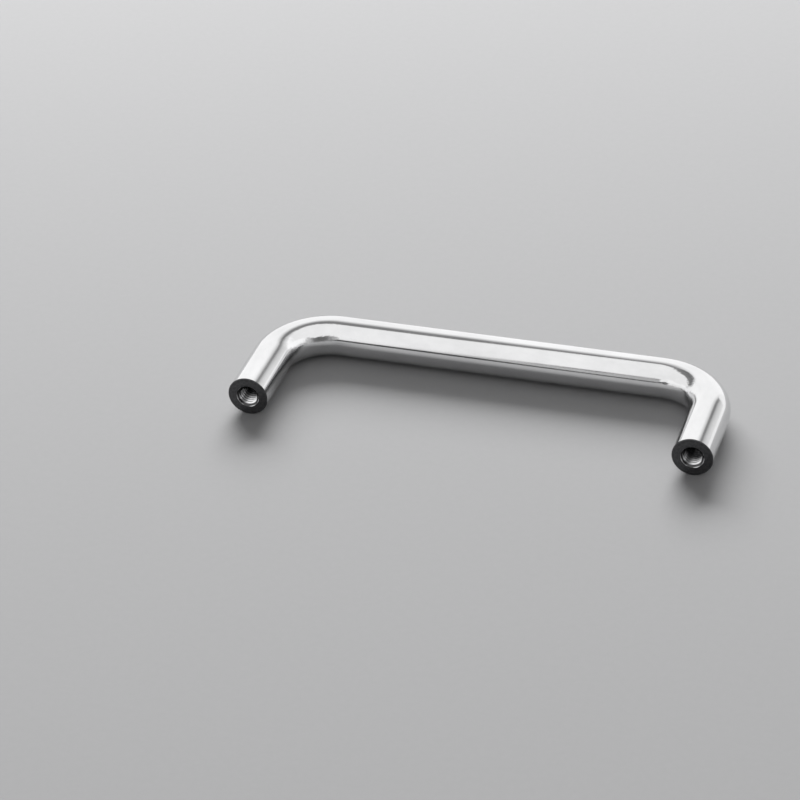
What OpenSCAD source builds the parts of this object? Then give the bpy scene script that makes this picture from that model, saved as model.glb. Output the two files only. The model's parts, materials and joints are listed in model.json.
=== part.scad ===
// Bridge pull handle: one solid round bar, bent to a U, with a tapped hole in each foot.
// The grip runs along X and the feet face -Y. The origin lies midway between the two holes,
// in the plane of the foot faces, so the handle rests on the side of its bar.

/* [Bar] */
// Diameter of the round bar
bar_d = 8; // [6:0.5:12]
// Distance between the axes of the two legs, which is the spacing of the holes
hole_spacing = 88; // [64:1:160]
// Height of the outside of the grip above the foot faces
projection = 30; // [28:1:50]
// Radius on the inside of each bend
bend_inner_r = 7.5; // [4:0.5:12]

/* [Feet] */
// Width of the chamfer round the edge of each foot face
foot_chamfer = 0.15; // [0.05:0.05:0.3]

/* [Tapped holes] */
// Nominal diameter of the thread
thread_d = 4; // [3:0.5:5]
// Pitch of the thread, which with the nominal diameter sets the tapping drill
thread_pitch = 0.7; // [0.5:0.05:0.8]
// Depth of the drilled hole, from the foot face to the start of its drill point
hole_depth = 10; // [6:0.5:12]
// Included angle of the drill point at the bottom of the hole
drill_point_angle = 118; // [90:1:140]
// Diameter of the countersink at the foot face
countersink_d = 4.6; // [4.6:0.1:5.3]
// Included angle of the countersink
countersink_angle = 105; // [90:5:120]

/* [Hidden] */
$fn = 96;

overcut = 1;                                // how far a cutting shape stands clear of the bar
bar_r = bar_d / 2;
bend_r = bend_inner_r + bar_r;              // centreline radius of a bend
grip_y = projection - bar_r;                // centreline of the grip
leg_length = grip_y - bend_r;
grip_length = hole_spacing - 2 * bend_r;    // straight part of the grip
leg_x = hole_spacing / 2;

tap_drill_r = (thread_d - thread_pitch) / 2;
drill_point_depth = tap_drill_r / tan(drill_point_angle / 2);
countersink_r = countersink_d / 2;
countersink_depth = (countersink_r - tap_drill_r) / tan(countersink_angle / 2);
overcut_r = countersink_r + overcut * tan(countersink_angle / 2);

// Straight leg, from its foot face at z = 0 up to the bend
module leg() {
    cylinder(r = bar_r, h = leg_length);
}

// Ring that takes the sharp edge off a foot face at z = 0, at 45 degrees
module foot_chamfer_cut() {
    inner_r = bar_r - foot_chamfer - overcut;
    outer_r = bar_r + overcut;
    rotate_extrude()
        polygon([
            [inner_r, -overcut],
            [outer_r, -overcut],
            [outer_r, foot_chamfer + overcut]
        ]);
}

// Drilled, tapped and countersunk hole along +Z, with its mouth at z = 0
module tapped_hole() {
    rotate_extrude()
        polygon([
            [0, -overcut],
            [overcut_r, -overcut],
            [countersink_r, 0],
            [tap_drill_r, countersink_depth],
            [tap_drill_r, hole_depth],
            [0, hole_depth + drill_point_depth]
        ]);
}

// Quarter bend from the top of the right leg to the right end of the grip
module bend() {
    translate([leg_x - bend_r, leg_length, 0])
        rotate_extrude(angle = 90)
            translate([bend_r, 0])
                circle(r = bar_r);
}

module straight_grip() {
    translate([0, grip_y, 0])
        rotate([0, 90, 0])
            cylinder(r = bar_r, h = grip_length, center = true);
}

// Puts what is made round +Z into the right foot, with its z = 0 at the foot face
module at_foot() {
    translate([leg_x, 0, 0])
        rotate([-90, 0, 0])
            children();
}

module both_ends() {
    children();
    mirror([1, 0, 0])
        children();
}

module handle() {
    color("silver")
        difference() {
            union() {
                straight_grip();
                both_ends() {
                    bend();
                    at_foot() leg();
                }
            }
            both_ends()
                at_foot() {
                    tapped_hole();
                    foot_chamfer_cut();
                }
        }
}

handle();
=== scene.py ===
# Bridge pull handle: finish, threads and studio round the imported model.
# One solid steel bar, bent to a U and lying on its side, with a tapped hole in each foot.
import json
import math

import bmesh
import bpy
from mathutils import Matrix, Vector

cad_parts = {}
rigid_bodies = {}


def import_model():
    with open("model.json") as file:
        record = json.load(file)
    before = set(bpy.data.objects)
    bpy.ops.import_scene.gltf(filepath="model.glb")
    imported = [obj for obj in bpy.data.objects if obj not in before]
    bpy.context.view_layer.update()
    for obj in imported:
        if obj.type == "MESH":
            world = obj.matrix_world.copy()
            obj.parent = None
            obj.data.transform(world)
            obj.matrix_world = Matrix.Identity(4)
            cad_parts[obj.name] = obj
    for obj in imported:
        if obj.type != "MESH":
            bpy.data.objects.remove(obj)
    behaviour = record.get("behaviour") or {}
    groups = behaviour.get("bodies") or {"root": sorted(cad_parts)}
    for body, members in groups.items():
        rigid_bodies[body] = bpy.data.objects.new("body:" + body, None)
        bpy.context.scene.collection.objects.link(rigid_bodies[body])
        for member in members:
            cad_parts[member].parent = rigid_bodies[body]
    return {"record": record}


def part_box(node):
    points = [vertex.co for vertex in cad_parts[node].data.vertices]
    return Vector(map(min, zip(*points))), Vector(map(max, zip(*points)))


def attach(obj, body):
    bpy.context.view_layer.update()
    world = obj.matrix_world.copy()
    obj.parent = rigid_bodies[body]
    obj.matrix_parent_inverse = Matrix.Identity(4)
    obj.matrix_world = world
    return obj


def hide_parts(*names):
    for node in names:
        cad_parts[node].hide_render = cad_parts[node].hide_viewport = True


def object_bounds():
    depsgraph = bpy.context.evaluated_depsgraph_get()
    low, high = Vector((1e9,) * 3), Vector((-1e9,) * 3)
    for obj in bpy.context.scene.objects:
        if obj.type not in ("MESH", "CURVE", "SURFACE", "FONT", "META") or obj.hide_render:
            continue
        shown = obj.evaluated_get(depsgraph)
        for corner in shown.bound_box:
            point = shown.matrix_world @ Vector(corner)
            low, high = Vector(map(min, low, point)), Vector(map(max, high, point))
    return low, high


print("Handle: loading the frame")
for leftover in list(bpy.data.objects):       # what Blender starts with
    bpy.data.objects.remove(leftover)
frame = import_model()
cadLow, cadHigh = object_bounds()
barLow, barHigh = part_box("handle")
mounts = {mount["name"]: mount for mount in frame["record"]["mounts"]}

mm = 0.001                                    # every size below is in metres
barRadius = (barHigh.z - barLow.z) / 2
floorHeight = barLow.z
gripCentre = barHigh.y - barRadius            # centreline of the grip, from the plane of the feet
legLeft = mounts["left_hole"]["pos_m"][0]
legRight = mounts["right_hole"]["pos_m"][0]
tapDrillRadius = mounts["left_hole"]["dims"]["r_mm"] * mm


# How fast a cone of this included angle, in degrees, widens with depth
def coneSlope(angle):
    return math.tan(math.radians(angle / 2))


# Fills a node's inputs, each by its name or number: a socket is linked and any other value is set
def fillInputs(tree, node, values):
    for key, value in values.items():
        if isinstance(value, bpy.types.NodeSocket):
            tree.links.new(value, node.inputs[key])
        else:
            node.inputs[key].default_value = value


def addNode(tree, kind, values=None, **settings):
    node = tree.nodes.new(kind)
    for name, value in settings.items():
        setattr(node, name, value)
    fillInputs(tree, node, values or {})
    return node


# One Math node; a, b and c are numbers or sockets
def calc(tree, operation, a, b=0.0, c=0.0, clamp=False):
    node = addNode(tree, "ShaderNodeMath", {0: a, 1: b, 2: c}, operation=operation, use_clamp=clamp)
    return node.outputs[0]


def mapRange(tree, value, fromLow, fromHigh, toLow=0.0, toHigh=1.0, smooth=False):
    node = addNode(tree, "ShaderNodeMapRange", {"Value": value, "From Min": fromLow, "From Max": fromHigh,
                                                "To Min": toLow, "To Max": toHigh},
                   interpolation_type="SMOOTHSTEP" if smooth else "LINEAR")
    return node.outputs["Result"]


def combine(tree, x, y, z):
    return addNode(tree, "ShaderNodeCombineXYZ", {0: x, 1: y, 2: z}).outputs[0]


def split(tree, vector):
    return addNode(tree, "ShaderNodeSeparateXYZ", {0: vector}).outputs


# Length of the flat vector x, y
def flatLength(tree, x, y):
    return addNode(tree, "ShaderNodeVectorMath", {0: combine(tree, x, y, 0.0)},
                   operation="LENGTH").outputs["Value"]


# Starts a Geometry Nodes tree with named inputs
def newTree(name, inputs):
    tree = bpy.data.node_groups.new(name, "GeometryNodeTree")
    for label, kind in inputs.items():
        tree.interface.new_socket(label, in_out="INPUT", socket_type="NodeSocket" + kind)
    tree.interface.new_socket("Geometry", in_out="OUTPUT", socket_type="NodeSocketGeometry")
    return tree, addNode(tree, "NodeGroupInput").outputs, addNode(tree, "NodeGroupOutput")


print("Handle: polished steel, turned feet and cut threads")


# Starts a material and returns its tree, its shader and the coordinates of the straight bar
def newMetal(name, colour, roughness):
    material = bpy.data.materials.new(name)
    material.use_nodes = True
    tree = material.node_tree
    shader = tree.nodes["Principled BSDF"]
    fillInputs(tree, shader, {"Base Color": (*colour, 1), "Metallic": 1, "Roughness": roughness})
    barPlace = addNode(tree, "ShaderNodeAttribute", attribute_name="barPlace").outputs["Vector"]
    return material, tree, shader, barPlace


# Gives a metal its colour, its roughness and a height in metres that bumps it
def finishMetal(tree, shader, colour, roughness, height):
    bump = addNode(tree, "ShaderNodeBump", {"Height": height, "Distance": 1.0, "Strength": 1.0})
    fillInputs(tree, shader, {"Base Color": colour, "Roughness": roughness, "Normal": bump.outputs[0]})


# Noise that is stretched by a different amount on each axis, with its features given as lengths
def stretchedNoise(tree, place, lengths, detail=2.0, roughness=0.5):
    scale = [1 / length for length in lengths]
    mapping = addNode(tree, "ShaderNodeMapping", {"Vector": place, "Scale": scale})
    noise = addNode(tree, "ShaderNodeTexNoise", {"Vector": mapping.outputs[0], "Scale": 1.0,
                                                 "Detail": detail, "Roughness": roughness})
    return noise.outputs["Fac"]


def mixColour(tree, factor, first, second):
    return addNode(tree, "ShaderNodeMix", {0: factor, 6: first, 7: second}, data_type="RGBA").outputs[2]


# Colour that goes from one tint to another as the factor goes from 0 to 1
def tintedColour(tree, factor, fromTint, toTint):
    return mixColour(tree, factor, (*fromTint, 1), (*toTint, 1))


def average(tree, a, b):
    return calc(tree, "MULTIPLY_ADD", a, 0.5, calc(tree, "MULTIPLY", b, 0.5))


# Sizes of lines, waves and smudges are given twice across the bar and once along it
polish = {
    "dark": (0.655, 0.655, 0.66),
    "light": (0.745, 0.745, 0.75),
    "lightening": (0.3, 0.65),                # levels of the smudges from dark to light
    "roughness": (0.075, 0.15),
    "roughening": (0.35, 0.7),                # levels of lines and smudges from smooth to rough
    "lines": (5 * mm, 5 * mm, 0.16 * mm),     # polishing lines round the bar
    "lineDepth": 0.00035 * mm,
    "waves": (9 * mm, 9 * mm, 3.2 * mm),      # gentle waves left by the polishing belt
    "waveDepth": 0.004 * mm,
    "smudges": (6 * mm, 6 * mm, 14 * mm),
    "peel": (0.5 * mm, 0.5 * mm, 0.5 * mm),   # orange peel on the inside of each bend
    "peelDepth": 0.028 * mm,
    "peelReach": (8.2 * mm, 11.5 * mm),       # distance from the centre of the bend
    "peelFade": (-1.5 * mm, 1.5 * mm),        # dies out where the bend meets the straight bar
}
bend = {"centreRadius": 11.5 * mm, "steps": 48}


def polishedSteel():
    material, tree, shader, place = newMetal("polishedSteel", polish["light"], polish["roughness"][0])
    lines = stretchedNoise(tree, place, polish["lines"], detail=3.0, roughness=0.65)
    waves = stretchedNoise(tree, place, polish["waves"], detail=1.0)
    smudges = stretchedNoise(tree, place, polish["smudges"], detail=4.0, roughness=0.6)
    height = calc(tree, "MULTIPLY", lines, polish["lineDepth"])
    height = calc(tree, "MULTIPLY_ADD", waves, polish["waveDepth"], height)

    # Orange peel, by the distance from the upright axis of the nearer bend
    spot = addNode(tree, "ShaderNodeTexCoord").outputs["Object"]
    axes = split(tree, spot)
    sideways = calc(tree, "SUBTRACT", calc(tree, "ABSOLUTE", axes[0]), legRight - bend["centreRadius"])
    forwards = calc(tree, "SUBTRACT", axes[1], gripCentre - bend["centreRadius"])
    reach = flatLength(tree, sideways, forwards)
    inside = mapRange(tree, reach, *polish["peelReach"], 1.0, 0.0, smooth=True)
    bent = mapRange(tree, calc(tree, "MINIMUM", sideways, forwards), *polish["peelFade"], smooth=True)
    peel = stretchedNoise(tree, spot, polish["peel"], detail=2.0, roughness=0.6)
    peeled = calc(tree, "MULTIPLY", peel, calc(tree, "MULTIPLY", inside, bent))
    height = calc(tree, "MULTIPLY_ADD", peeled, polish["peelDepth"], height)

    light = mapRange(tree, smudges, *polish["lightening"])
    finishMetal(tree, shader, tintedColour(tree, light, polish["dark"], polish["light"]),
                mapRange(tree, average(tree, lines, smudges), *polish["roughening"], *polish["roughness"]),
                height)
    return material


# The foot faces are coloured far darker than steel: painted shade, standing in for the dark reflection that
# the faces show. Their rings and grain are the turned finish
turned = {
    "dark": (0.035, 0.035, 0.037),
    "light": (0.12, 0.12, 0.123),
    "roughness": (0.32, 0.46),
    "change": (0.3, 0.7),                     # levels of rings and grain between which it changes
    "grain": (0.55 * mm, 0.55 * mm, 0.55 * mm),
    "ringSpacing": 0.11 * mm,                 # tool marks round the hole
    "ringDepth": 0.0012 * mm,
}


def turnedSteel():
    material, tree, shader, place = newMetal("turnedSteel", turned["light"], turned["roughness"][0])
    axes = split(tree, place)
    outward = calc(tree, "DIVIDE", flatLength(tree, axes[0], axes[1]), turned["ringSpacing"])
    rings = addNode(tree, "ShaderNodeTexNoise", {"W": outward, "Scale": 1.0, "Detail": 2.0},
                    noise_dimensions="1D").outputs["Fac"]
    mixed = average(tree, rings, stretchedNoise(tree, place, turned["grain"], detail=3.0, roughness=0.6))
    # Painted shade: the face's colour stays very dark between its two tints
    light = mapRange(tree, mixed, *turned["change"])
    finishMetal(tree, shader, tintedColour(tree, light, turned["dark"], turned["light"]),
                mapRange(tree, mixed, *turned["change"], *turned["roughness"]),
                calc(tree, "MULTIPLY", mixed, turned["ringDepth"]))
    return material


foot = {
    "edgeBreak": 0.15 * mm,                   # chamfer round the foot face
    "countersinkRadius": 2.3 * mm,
    "countersinkAngle": 105,                  # angles are in degrees
    "threadRadius": 2.03 * mm,                # bottom of the thread's grooves
    "pitch": 0.7 * mm,
    "threadLength": 8 * mm,
    "holeDepth": 10 * mm,
    "drillAngle": 118,
    "turn": -60,                              # turns the start of the thread round the hole
}
cut = {
    # The countersink's colour is painted shade, far darker than the steel
    "countersink": (0.06, 0.06, 0.061),
    "coneEdge": (0.01 * mm, 0.03 * mm),       # distance from its cone where the thread's look begins
    "rim": (0.62, 0.62, 0.63),                # lip of the countersink, lighter in patches: a painted highlight
    "rimDepth": (0.06 * mm, 0.11 * mm),
    "rimPatch": (2.2 * mm, 2.2 * mm, 2.2 * mm),
    "rimHighlight": (0.42, 0.58),                  # levels of the patches from dark to bright
    "flank": (0.76, 0.76, 0.77),
    "holeShade": (0.015, 0.015, 0.016),             # painted shade, in the grooves and deep in the hole
    "holeShadeRadius": (1.84 * mm, 2.0 * mm),
    "holeShadeDepth": (0.7 * mm, 4.0 * mm),
    "holeShadeRise": 0.9 * mm,                      # how much nearer the mouth it stands in the right hole
    "holeShadeStreaks": 0.4,                        # how far the torn grain breaks it up
    "roughness": (0.10, 0.22),
    "roughening": (0.35, 0.65),               # levels of the tears from smooth to rough
    "tears": (0.5 * mm, 0.5 * mm, 0.12 * mm),    # torn grain that the tap leaves on the flanks
    "tearDepth": 0.002 * mm,
}


def cutSteel():
    material, tree, shader, place = newMetal("cutSteel", cut["flank"], cut["roughness"][0])
    tears = stretchedNoise(tree, place, cut["tears"], detail=3.0, roughness=0.6)
    axes = split(tree, place)
    radius, depth = flatLength(tree, axes[0], axes[1]), axes[2]
    aside = split(tree, addNode(tree, "ShaderNodeTexCoord").outputs["Object"])[0]
    # Painted shade: the thread darkens towards its grooves and deep in the hole, nearer the mouth in the
    # right hole, broken up by the torn grain
    shadedDepth = calc(tree, "ADD", depth, mapRange(tree, aside, legLeft, legRight, 0.0, cut["holeShadeRise"]))
    holeShade = calc(tree, "MAXIMUM", mapRange(tree, shadedDepth, *cut["holeShadeDepth"], smooth=True),
               mapRange(tree, radius, *cut["holeShadeRadius"], smooth=True))
    streaks = calc(tree, "SUBTRACT", tears, 0.5)
    holeShade = calc(tree, "MULTIPLY_ADD", streaks, cut["holeShadeStreaks"], holeShade, clamp=True)
    threaded = tintedColour(tree, holeShade, cut["flank"], cut["holeShade"])

    # What lies on the cone of the countersink, coloured near black as painted shade, and its lip
    slope = coneSlope(foot["countersinkAngle"])
    cone = calc(tree, "MULTIPLY_ADD", depth, -slope, foot["countersinkRadius"])
    onCone = mapRange(tree, calc(tree, "SUBTRACT", radius, cone), *cut["coneEdge"], 1.0, 0.0)
    # Painted highlight: patches of the lip, placed by noise, take the lighter colour
    patches = mapRange(tree, stretchedNoise(tree, place, cut["rimPatch"], detail=0.0), *cut["rimHighlight"])
    highlighted = calc(tree, "MULTIPLY", mapRange(tree, depth, *cut["rimDepth"], 1.0, 0.0), patches)
    coned = tintedColour(tree, highlighted, cut["countersink"], cut["rim"])
    finishMetal(tree, shader, mixColour(tree, onCone, threaded, coned),
                mapRange(tree, tears, *cut["roughening"], *cut["roughness"]),
                calc(tree, "MULTIPLY", tears, cut["tearDepth"]))
    return material


finishes = [polishedSteel(), turnedSteel(), cutSteel()]
turnedFinish, cutFinish = 1, 2                # their numbers on the faces; the swept bar keeps 0

print("Handle: bending the bar and tapping the feet")
bar = {
    "sides": 96,
    "ringSpacing": 0.5 * mm,                  # along the bar
    "rowsPerPitch": 8,
    "rows": {"edge": 2, "lip": 1, "face": 6, "bore": 4, "point": 4},    # in the bands of each foot
    "sharpAngle": 35,                         # edges past it, in degrees, stay crisp
    "weld": 0.001 * mm,                       # points closer than this become one
}


def position(tree):
    return addNode(tree, "GeometryNodeInputPosition").outputs[0]


# Stores a value under a name on the points, corners or faces of a geometry
def storeValue(tree, geometry, name, value, kind, domain):
    return addNode(tree, "GeometryNodeStoreNamedAttribute",
                   {"Geometry": geometry, "Name": name, "Value": value},
                   data_type=kind, domain=domain).outputs[0]


def storedValue(tree, name, kind):
    return addNode(tree, "GeometryNodeInputNamedAttribute", {"Name": name}, data_type=kind).outputs[0]


def joinParts(tree, parts):
    join = addNode(tree, "GeometryNodeJoinGeometry")
    for part in parts:
        tree.links.new(part, join.inputs[0])
    return join.outputs[0]


# A grid to roll up round +Y: around and along go from 0 to 1, round it and from ring to ring
def rolledGrid(tree, sides, rows):
    grid = addNode(tree, "GeometryNodeMeshGrid", {"Size X": 1.0, "Size Y": 1.0,
                                                  "Vertices X": calc(tree, "ADD", sides, 1.0),
                                                  "Vertices Y": calc(tree, "ADD", rows, 1.0)})
    axes = split(tree, position(tree))
    around = calc(tree, "ADD", axes[0], 0.5)
    along = calc(tree, "ADD", axes[1], 0.5)
    return grid.outputs["Mesh"], around, along


# Moves the grid to a radius and a depth, and notes its place on the straight bar and its finish
def wrap(tree, mesh, around, radius, depth, finish):
    angle = calc(tree, "MULTIPLY", around, math.tau)
    x = calc(tree, "MULTIPLY", radius, calc(tree, "COSINE", angle))
    z = calc(tree, "MULTIPLY", radius, calc(tree, "SINE", angle))
    moved = addNode(tree, "GeometryNodeSetPosition",
                    {"Geometry": mesh, "Position": combine(tree, x, depth, z)}).outputs[0]
    axes = split(tree, position(tree))
    place = combine(tree, axes[0], axes[2], axes[1])
    placed = storeValue(tree, moved, "barPlace", place, "FLOAT_VECTOR", "CORNER")
    return storeValue(tree, placed, "finish", finish, "INT", "FACE")


# Named inputs of the thread's tree and of the foot's, which passes the first ones on
threadInputs = {"Countersink Radius": "Float", "Countersink Slope": "Float", "Drill Radius": "Float",
                "Groove Radius": "Float", "Pitch": "Float", "Thread Length": "Float",
                "Rows Per Pitch": "Int", "Sides": "Int"}
footInputs = {**threadInputs, "Bar Radius": "Float", "Edge Break": "Float", "Hole Depth": "Float",
              "Drill Slope": "Float"}


# Tree for one ring-shaped band between two circles round +Y
def ringBandTree():
    tree, given, result = newTree("ringBand", {
        "Start Radius": "Float", "Start Depth": "Float", "End Radius": "Float", "End Depth": "Float",
        "Rows": "Int", "Sides": "Int", "Finish": "Int"})
    mesh, around, along = rolledGrid(tree, given["Sides"], given["Rows"])
    radius = mapRange(tree, along, 0.0, 1.0, given["Start Radius"], given["End Radius"])
    depth = mapRange(tree, along, 0.0, 1.0, given["Start Depth"], given["End Depth"])
    tree.links.new(wrap(tree, mesh, around, radius, depth, given["Finish"]), result.inputs[0])
    return tree


thread = {
    "flank": (0.3, 0.875),                    # shares of half a pitch where a flank starts and ends
    "nudge": 0.001,                           # keeps whole turns clear of rounding
    "runOut": 1.5,                            # pitches over which the grooves die out
}


# Tree for the countersink and the thread: its rows climb with the helix, and stop at flat ends
def threadTree():
    tree, given, result = newTree("thread", {**threadInputs, "Finish": "Int"})
    pitch, length = given["Pitch"], given["Thread Length"]
    turns = calc(tree, "ADD", calc(tree, "CEIL", calc(tree, "DIVIDE", length, pitch)), 1.0)
    rows = calc(tree, "MULTIPLY", turns, given["Rows Per Pitch"])
    mesh, around, along = rolledGrid(tree, given["Sides"], rows)
    phase = calc(tree, "MULTIPLY", along, turns)
    climb = calc(tree, "SUBTRACT", calc(tree, "ADD", phase, around), 1.0)
    free = calc(tree, "MULTIPLY", climb, pitch)
    depth = calc(tree, "MINIMUM", calc(tree, "MAXIMUM", free, 0.0), length)

    # Trapezoid of a 60 degree thread: 0 on the crest, 1 at the bottom of the groove
    within = calc(tree, "FRACT", calc(tree, "ADD", phase, thread["nudge"]))
    wave = calc(tree, "ABSOLUTE", calc(tree, "SUBTRACT", calc(tree, "MULTIPLY", within, 2.0), 1.0))
    groove = mapRange(tree, wave, *thread["flank"])
    fadeStart = calc(tree, "MULTIPLY_ADD", pitch, -thread["runOut"], length)
    fade = mapRange(tree, depth, fadeStart, length, 1.0, 0.0)
    height = calc(tree, "SUBTRACT", given["Groove Radius"], given["Drill Radius"])
    grooved = calc(tree, "MULTIPLY", groove, fade)
    threaded = calc(tree, "MULTIPLY_ADD", grooved, height, given["Drill Radius"])
    cone = calc(tree, "SUBTRACT", given["Countersink Radius"],
                calc(tree, "MULTIPLY", depth, given["Countersink Slope"]))
    radius = calc(tree, "MAXIMUM", threaded, cone)
    tree.links.new(wrap(tree, mesh, around, radius, depth, given["Finish"]), result.inputs[0])
    return tree


# Adds one band to a tree; start and end are a radius and a depth, as numbers or sockets
def addBand(tree, bandTree, start, end, rows, sides, finish):
    names = ("Start Radius", "Start Depth", "End Radius", "End Depth", "Rows", "Sides", "Finish")
    values = dict(zip(names, (*start, *end, rows, sides, finish)))
    return addNode(tree, "GeometryNodeGroup", values, node_tree=bandTree).outputs[0]


# Tree for one foot round +Y: broken edge, face, countersunk thread, plain bore and drill point
def tappedFootTree():
    tree, given, result = newTree("tappedFoot", footInputs)
    faceRadius = calc(tree, "SUBTRACT", given["Bar Radius"], given["Edge Break"])
    halfBreak = calc(tree, "MULTIPLY", given["Edge Break"], 0.5)
    pointLength = calc(tree, "DIVIDE", given["Drill Radius"], given["Drill Slope"])
    edge = (given["Bar Radius"], given["Edge Break"])
    face = (faceRadius, 0.0)
    lip = (calc(tree, "SUBTRACT", faceRadius, halfBreak), 0.0)
    mouth = (given["Countersink Radius"], 0.0)
    threadEnd = (given["Drill Radius"], given["Thread Length"])
    boreEnd = (given["Drill Radius"], given["Hole Depth"])
    point = (0.0, calc(tree, "ADD", given["Hole Depth"], pointLength))

    band, rows = ringBandTree(), bar["rows"]
    parts = [addBand(tree, band, start, end, rows[name], given["Sides"], finish)
             for name, start, end, finish in (("edge", edge, face, turnedFinish),
                                              ("lip", face, lip, turnedFinish),
                                              ("face", lip, mouth, turnedFinish),
                                              ("bore", threadEnd, boreEnd, cutFinish),
                                              ("point", boreEnd, point, cutFinish))]
    values = {name: given[name] for name in threadInputs}
    helix = addNode(tree, "GeometryNodeGroup", {**values, "Finish": cutFinish}, node_tree=threadTree())
    tree.links.new(joinParts(tree, [*parts, helix.outputs[0]]), result.inputs[0])
    return tree


# Sweeps the bar along a polyline whose corners are rounded, and notes where each point is
def sweptBar(tree, given):
    line = addNode(tree, "GeometryNodeMeshToCurve", {"Mesh": given["Geometry"]})
    rounding = {"Curve": line.outputs[0], "Radius": given["Bend Radius"], "Count": given["Bend Steps"]}
    fillet = addNode(tree, "GeometryNodeFilletCurve", rounding, mode="POLY")
    spaced = addNode(tree, "GeometryNodeResampleCurve",
                     {"Curve": fillet.outputs[0], "Length": given["Ring Spacing"]}, mode="LENGTH")
    upright = addNode(tree, "GeometryNodeSetCurveNormal", {"Curve": spaced.outputs[0]}, mode="Z_UP")
    along = addNode(tree, "GeometryNodeSplineParameter").outputs["Length"]
    path = storeValue(tree, upright.outputs[0], "alongBar", along, "FLOAT", "POINT")
    circle = addNode(tree, "GeometryNodeCurvePrimitiveCircle",
                     {"Resolution": given["Sides"], "Radius": given["Bar Radius"]})
    section = storeValue(tree, circle.outputs[0], "acrossBar", position(tree), "FLOAT_VECTOR", "POINT")
    sweep = addNode(tree, "GeometryNodeCurveToMesh", {"Curve": path, "Profile Curve": section})
    across = split(tree, storedValue(tree, "acrossBar", "FLOAT_VECTOR"))
    place = combine(tree, across[0], across[1], storedValue(tree, "alongBar", "FLOAT"))
    return storeValue(tree, sweep.outputs[0], "barPlace", place, "FLOAT_VECTOR", "CORNER")


# Gives each face the material that its finish number names
def setFinishes(tree, geometry):
    number = storedValue(tree, "finish", "INT")
    for index, material in enumerate(finishes):
        chosen = addNode(tree, "FunctionNodeCompare", {2: number, 3: index}, data_type="INT",
                         operation="EQUAL").outputs[0]
        geometry = addNode(tree, "GeometryNodeSetMaterial",
                           {"Geometry": geometry, "Selection": chosen, "Material": material}).outputs[0]
    return geometry


# Tree for the whole handle: sweeps the bar and adds a foot to each leg
def bentBarTree():
    tree, given, result = newTree("bentBar", {
        "Geometry": "Geometry", "Bend Radius": "Float", "Bend Steps": "Int", "Ring Spacing": "Float",
        "Left Hole": "Vector", "Right Hole": "Vector", "Foot Turn": "Float", "Sharp Angle": "Float",
        "Weld": "Float", **footInputs})
    oneFoot = addNode(tree, "GeometryNodeGroup", {name: given[name] for name in footInputs},
                      node_tree=tappedFootTree())
    places = addNode(tree, "GeometryNodeMeshLine", {"Count": 2, "Start Location": given["Left Hole"],
                                                   "Offset": given["Right Hole"]}, mode="END_POINTS")
    feet = addNode(tree, "GeometryNodeInstanceOnPoints",
                   {"Points": places.outputs[0], "Instance": oneFoot.outputs[0],
                    "Rotation": combine(tree, 0.0, given["Foot Turn"], 0.0)})
    realFeet = addNode(tree, "GeometryNodeRealizeInstances", {0: feet.outputs[0]})
    joined = joinParts(tree, [sweptBar(tree, given), realFeet.outputs[0]])
    welded = addNode(tree, "GeometryNodeMergeByDistance", {"Geometry": joined, "Distance": given["Weld"]})

    smooth = addNode(tree, "GeometryNodeSetShadeSmooth", {"Geometry": welded.outputs[0]}, domain="FACE")
    turn = addNode(tree, "GeometryNodeInputMeshEdgeAngle").outputs["Unsigned Angle"]
    sharp = calc(tree, "GREATER_THAN", turn, given["Sharp Angle"])
    crisp = addNode(tree, "GeometryNodeSetShadeSmooth", {"Geometry": smooth.outputs[0], "Selection": sharp,
                                                        "Shade Smooth": False}, domain="EDGE")
    real = addNode(tree, "GeometryNodeRealizeInstances", {0: crisp.outputs[0]})
    tree.links.new(setFinishes(tree, real.outputs[0]), result.inputs[0])
    return tree


# Sets a modifier's inputs by the identifier of each named socket
def setInputs(modifier, values):
    for item in modifier.node_group.interface.items_tree:
        if item.item_type == "SOCKET" and item.in_out == "INPUT" and item.name in values:
            modifier[item.identifier] = values[item.name]


# Turns what the modifier makes into a plain mesh, closed and with its faces outwards
def bakeNodes(thing):
    graph = bpy.context.evaluated_depsgraph_get()
    mesh = bpy.data.meshes.new_from_object(thing.evaluated_get(graph), preserve_all_data_layers=True,
                                           depsgraph=graph)
    thing.modifiers.clear()
    thing.data = mesh
    shape = bmesh.new()
    shape.from_mesh(mesh)
    bmesh.ops.remove_doubles(shape, verts=shape.verts, dist=bar["weld"])
    bmesh.ops.dissolve_degenerate(shape, edges=shape.edges, dist=bar["weld"])
    bmesh.ops.recalc_face_normals(shape, faces=shape.faces)
    openEdges = sum(1 for edge in shape.edges if len(edge.link_faces) != 2)
    triangles = sum(len(face.verts) - 2 for face in shape.faces)
    print(f"Handle: {thing.name} has {triangles} triangles, {openEdges} open edges, "
          f"{shape.calc_volume() / mm ** 3:.1f} cubic millimetres")
    shape.to_mesh(mesh)
    shape.free()
    return thing


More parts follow.
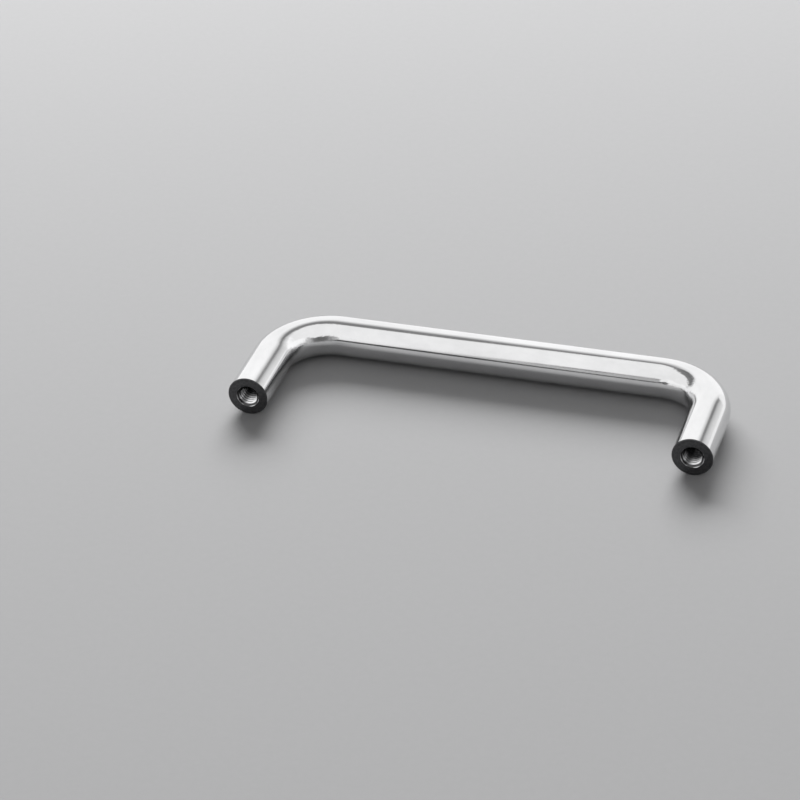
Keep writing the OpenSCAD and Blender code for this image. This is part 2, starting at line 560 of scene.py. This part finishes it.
def bentBar():
    low = foot["edgeBreak"]
    corners = [(legLeft, low, 0), (legLeft, gripCentre, 0), (legRight, gripCentre, 0), (legRight, low, 0)]
    centreline = bpy.data.meshes.new("centreline")
    centreline.from_pydata(corners, [(0, 1), (1, 2), (2, 3)], [])
    thing = bpy.data.objects.new("steel_bar", centreline)
    bpy.context.scene.collection.objects.link(thing)
    modifier = thing.modifiers.new("bentBar", "NODES")
    modifier.node_group = bentBarTree()
    setInputs(modifier, {
        "Bar Radius": barRadius, "Bend Radius": bend["centreRadius"], "Bend Steps": bend["steps"],
        "Ring Spacing": bar["ringSpacing"], "Sides": bar["sides"], "Rows Per Pitch": bar["rowsPerPitch"],
        "Sharp Angle": math.radians(bar["sharpAngle"]), "Weld": bar["weld"],
        "Left Hole": (legLeft, 0.0, 0.0), "Right Hole": (legRight, 0.0, 0.0),
        "Foot Turn": math.radians(foot["turn"]), "Edge Break": foot["edgeBreak"],
        "Countersink Radius": foot["countersinkRadius"],
        "Countersink Slope": coneSlope(foot["countersinkAngle"]),
        "Drill Radius": tapDrillRadius, "Groove Radius": foot["threadRadius"], "Pitch": foot["pitch"],
        "Thread Length": foot["threadLength"], "Hole Depth": foot["holeDepth"],
        "Drill Slope": coneSlope(foot["drillAngle"])})
    return bakeNodes(thing)


handle = bentBar()
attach(handle, "root")
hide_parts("handle")

print("Handle: floor, lamps and camera")
studio = {
    "worldSeen": 1.15,                        # the white tent, as the camera and the steel see it
    "worldLight": 0.30,                       # its light on everything else
    "distance": 1.6,                          # from the handle to the panels and flags
}
ground = {
    "radius": 5.0,
    "sides": 96,
    "colour": (0.40, 0.40, 0.405),
    "shade": 0.93,                            # how dark its mottle gets
    "mottle": (1.5 * mm, 1.5 * mm, 1.5 * mm),
    "roughness": 0.45,
}
middle = (cadLow + cadHigh) / 2


def makeFloor():
    material = bpy.data.materials.new("paleFloor")
    material.use_nodes = True
    tree = material.node_tree
    shader = tree.nodes["Principled BSDF"]
    spot = addNode(tree, "ShaderNodeTexCoord").outputs["Object"]
    mottle = stretchedNoise(tree, spot, ground["mottle"], detail=4.0, roughness=0.7)
    dark = [value * ground["shade"] for value in ground["colour"]]
    colour = tintedColour(tree, mottle, dark, ground["colour"])
    fillInputs(tree, shader, {"Base Color": colour, "Roughness": ground["roughness"]})
    bpy.ops.mesh.primitive_circle_add(vertices=ground["sides"], radius=ground["radius"], fill_type="NGON",
                                      location=(middle.x, middle.y, floorHeight))
    floor = bpy.context.object
    floor.name = "floor"
    floor.data.materials.append(material)


def makeWorld():
    world = bpy.data.worlds.new("whiteTent")
    bpy.context.scene.world = world
    world.use_nodes = True
    tree = world.node_tree
    rays = addNode(tree, "ShaderNodeLightPath").outputs
    seen = calc(tree, "MAXIMUM", rays["Is Camera Ray"],
                calc(tree, "MAXIMUM", rays["Is Glossy Ray"], rays["Is Transmission Ray"]))
    strength = mapRange(tree, seen, 0.0, 1.0, studio["worldLight"], studio["worldSeen"])
    fillInputs(tree, tree.nodes["Background"], {"Strength": strength, "Color": (1, 1, 1, 1)})


# Direction from the handle, with azimuth 0 along +Y and 90 along +X
def towards(azimuth, elevation):
    a, e = math.radians(azimuth), math.radians(elevation)
    return Vector((math.sin(a) * math.cos(e), math.cos(a) * math.cos(e), math.sin(e)))


def glow():
    material = bpy.data.materials.new("glow")
    material.cycles.emission_sampling = "NONE"    # it is seen in the steel and isn't used as a lamp
    material.use_nodes = True
    tree = material.node_tree
    tree.nodes.remove(tree.nodes["Principled BSDF"])
    level = addNode(tree, "ShaderNodeAttribute", attribute_name="level").outputs["Fac"]
    emission = addNode(tree, "ShaderNodeEmission", {"Strength": level})
    tree.links.new(emission.outputs[0], tree.nodes["Material Output"].inputs[0])
    return material


# A stage piece that shows in reflections alone, with a level for each of its points
def addStage(name, points, faces, levels):
    mesh = bpy.data.meshes.new(name)
    mesh.from_pydata(points, [], faces)
    mesh.materials.append(bpy.data.materials.get("glow") or glow())
    mesh.attributes.new("level", "FLOAT", "POINT").data.foreach_set("value", levels)
    card = bpy.data.objects.new(name, mesh)
    bpy.context.scene.collection.objects.link(card)
    card.visible_camera = False
    card.visible_diffuse = False
    card.visible_shadow = False


# Rows of points with one level each, joined by faces; every row is as long as the first
def addSheet(name, rows):
    width = len(rows[0])
    faces = []
    for i in range(len(rows) - 1):
        for j in range(width - 1):
            k = i * width + j
            faces.append((k, k + 1, k + width + 1, k + width))
    spots = [spot for row in rows for spot in row]
    addStage(name, [point for point, level in spots], faces, [level for point, level in spots])


# One flat face of one level
def addPlate(name, points, level):
    addStage(name, points, [tuple(range(len(points)))], [level] * len(points))


# A board of one level, with its corners as azimuths and elevations
def addBoard(name, board):
    distance = studio["distance"] * board["nearness"]
    addPlate(name, [middle + towards(*corner) * distance for corner in board["corners"]], board["level"])


# Upright strips side by side: each has an azimuth, then pairs of an elevation and a level
def addStrips(name, strips, nearness):
    distance = studio["distance"] * nearness
    addSheet(name, [[(middle + towards(azimuth, elevation) * distance, level) for elevation, level in spots]
                    for azimuth, *spots in strips])


# The rear window and the dark cloth round it. Each ring is half an oval, with its half width and its
# height on an upright plane 1 m away, its level and the turn where it starts. The level runs smoothly
# from one ring to the next
window = {
    "azimuth": -27,
    "rings": ((0.0, 0.0, 1.27, 0), (1.08, 0.98, 1.27, 0), (1.13, 1.25, 0.95, 30), (1.135, 1.55, 0.6, 30),
              (1.14, 1.9, 0.28, 30), (1.17, 8, 0.28, 28), (1.3, 9, 0.58, 24), (1.5, 10, 0.78, 18),
              (1.75, 11, 0.92, 12), (2.2, 12, 1.0, 10), (3, 14, 1.15, 10)),
    "steps": 60,
}


def addWindow():
    forward, right = towards(window["azimuth"], 0), towards(window["azimuth"] + 90, 0)
    rings = []
    for halfWidth, height, level, start in window["rings"]:
        ring = []
        for i in range(window["steps"] + 1):
            turn = math.radians(start + (180 - 2 * start) * i / window["steps"])
            reach = 0.0
            if halfWidth > 0:
                reach = 1 / math.hypot(math.cos(turn) / halfWidth, math.sin(turn) / height)
            aside, upward = reach * math.cos(turn), reach * math.sin(turn)
            direction = (forward + right * aside + Vector((0, 0, upward))).normalized()
            ring.append((middle + direction * studio["distance"], level))
        rings.append(ring)
    addSheet("rearWindow", rings)


# A level panel close above the handle, whose rear edge ends the dark cloth
overhead = {
    "height": 0.2,
    "level": 1.15,
    "corners": ((0.3, 0.2), (0.05, 0.13), (0.0, 0.105), (-0.035, 0.08), (-0.06, 0.055), (-0.09, 0.05),
                (-0.14, 0.06), (-0.6, 0.08), (-0.6, -0.3), (0.3, -0.3)),
}


def addOverhead():
    points = [Vector((x, y, overhead["height"])) for x, y in overhead["corners"]]
    addPlate("overheadPanel", points, overhead["level"])


# A grey board at the left
leftBoard = {
    "level": 0.22,
    "nearness": 0.99,
    "corners": ((-33, 52), (-44, 46), (-50, 43.5), (-57, 40.5), (-64, 36), (-64, 32), (-68, 28), (-74, 23),
                (-82, 20), (-87, 24), (-81, 30), (-76, 36), (-70, 42), (-68, 46), (-60, 52), (-50, 58),
                (-40, 60)),
}
# A small dark tab near the top edge of the front cloth
frontTab = {
    "level": 0.03,
    "nearness": 0.96,
    "corners": ((191.3, 16.5), (192.8, 16.5), (192.8, 22.5), (191.3, 22.5)),
}
# A bright panel at the left and a low dark flag in front
leftPanel = {"level": 1.28, "nearness": 1.0, "azimuths": range(-145, -85, 3), "elevations": (10, 58)}
frontFlag = {"level": 0.02, "nearness": 0.96, "azimuths": range(176, 218, 3), "elevations": (-1, 7)}


def addEvenPanel(name, panel):
    spots = [(elevation, panel["level"]) for elevation in panel["elevations"]]
    addStrips(name, [(azimuth, *spots) for azimuth in panel["azimuths"]], panel["nearness"])


# A bright panel at the right, darker towards its lower front corner. Each azimuth has a level for each
# of the elevations
rightPanel = {
    "nearness": 1.0,
    "elevations": (0, 5, 10, 15, 58),
    "levels": {
        42: (1.35, 1.35, 1.35, 1.35, 1.35),
        60: (1.3, 1.35, 1.35, 1.35, 1.35),
        70: (0.95, 1.15, 1.33, 1.35, 1.35),
        80: (0.62, 0.85, 1.2, 1.34, 1.35),
        90: (0.55, 0.7, 1.08, 1.3, 1.35),
        99: (0.5, 0.6, 0.95, 1.25, 1.35),
        107: (0.45, 0.5, 0.64, 0.95, 1.35),
    },
}


def addRightPanel():
    strips = [(azimuth, *zip(rightPanel["elevations"], levels))
              for azimuth, levels in rightPanel["levels"].items()]
    addStrips("rightPanel", strips, rightPanel["nearness"])


# A hanging cloth in front. Each stop has an azimuth, the level there, and the elevations where it
# begins to fade and where it ends
frontCloth = {
    "nearness": 0.97,
    "foot": -1,                               # elevation of its lower edge
    "beyond": 1.13,                           # level where it has faded out
    "stops": ((107, 0.66, 28, 38), (118, 0.64, 28, 38), (121, 0.48, 28, 38), (124, 0.37, 28, 38),
              (128, 0.26, 28, 38), (135, 0.2, 26, 38), (141, 0.15, 24, 38), (150, 0.17, 23, 38),
              (160, 0.19, 23, 37), (165, 0.21, 23, 36), (169, 0.3, 23, 35), (175, 0.38, 22, 34),
              (180, 0.46, 21, 32), (185, 0.53, 20, 28), (190.5, 0.56, 21, 26), (193, 0.58, 20, 25),
              (195.2, 0.6, 9, 13), (197.5, 0.6, 8, 12)),
    "fade": ((0.0, 0.0), (0.35, 0.3), (0.7, 0.75), (1.0, 1.0)),    # shares of the height and the level
}


def addFrontCloth():
    strips = []
    for azimuth, level, fadeStart, fadeEnd in frontCloth["stops"]:
        spots = [(fadeStart + (fadeEnd - fadeStart) * reach, level + (frontCloth["beyond"] - level) * share)
                 for reach, share in frontCloth["fade"]]
        strips.append((azimuth, (frontCloth["foot"], level), *spots))
    addStrips("frontCloth", strips, frontCloth["nearness"])


# A broad soft lamp, behind and a little to the left
keyLamp = {"azimuth": -22, "elevation": 28, "distance": 1.3, "width": 1.2, "height": 0.6, "power": 36.0}


def addKeyLamp():
    data = bpy.data.lights.new("keyLamp", "AREA")
    data.shape = "ELLIPSE"
    data.size = keyLamp["width"]
    data.size_y = keyLamp["height"]
    data.energy = keyLamp["power"]
    lamp = bpy.data.objects.new("keyLamp", data)
    bpy.context.scene.collection.objects.link(lamp)
    direction = towards(keyLamp["azimuth"], keyLamp["elevation"])
    lamp.location = middle + direction * keyLamp["distance"]
    lamp.rotation_euler = direction.to_track_quat("Z", "Y").to_euler()
    lamp.visible_glossy = False


makeFloor()
makeWorld()
addWindow()
addOverhead()
addBoard("leftBoard", leftBoard)
addEvenPanel("leftPanel", leftPanel)
addRightPanel()
addFrontCloth()
addBoard("frontTab", frontTab)
addEvenPanel("frontFlag", frontFlag)
addKeyLamp()

camera = {
    "azimuth": 162.115, "elevation": 32.498, "roll": -2.097,
    "lens": 141.6, "sensor": 36.0, "clip": (0.05, 20), "distance": 0.61186,
    "aimAside": -0.01695, "aimUp": -0.00219,  # from the middle of the handle, across the view
}


def makeCamera():
    back = towards(camera["azimuth"], camera["elevation"])
    level = Vector((0, 0, 1)).cross(back).normalized()
    upright = back.cross(level)
    roll = math.radians(camera["roll"])
    right = level * math.cos(roll) + upright * math.sin(roll)
    top = back.cross(right)
    data = bpy.data.cameras.new("camera")
    data.lens = camera["lens"]
    data.sensor_width = camera["sensor"]
    data.clip_start, data.clip_end = camera["clip"]
    thing = bpy.data.objects.new("camera", data)
    bpy.context.scene.collection.objects.link(thing)
    place = middle + back * camera["distance"] + level * camera["aimAside"] + upright * camera["aimUp"]
    turn = Matrix((right, top, back)).transposed().to_4x4()
    thing.matrix_world = Matrix.Translation(place) @ turn
    bpy.context.scene.camera = thing


makeCamera()
bpy.context.scene.view_settings.view_transform = "Standard"

print("Handle: done")
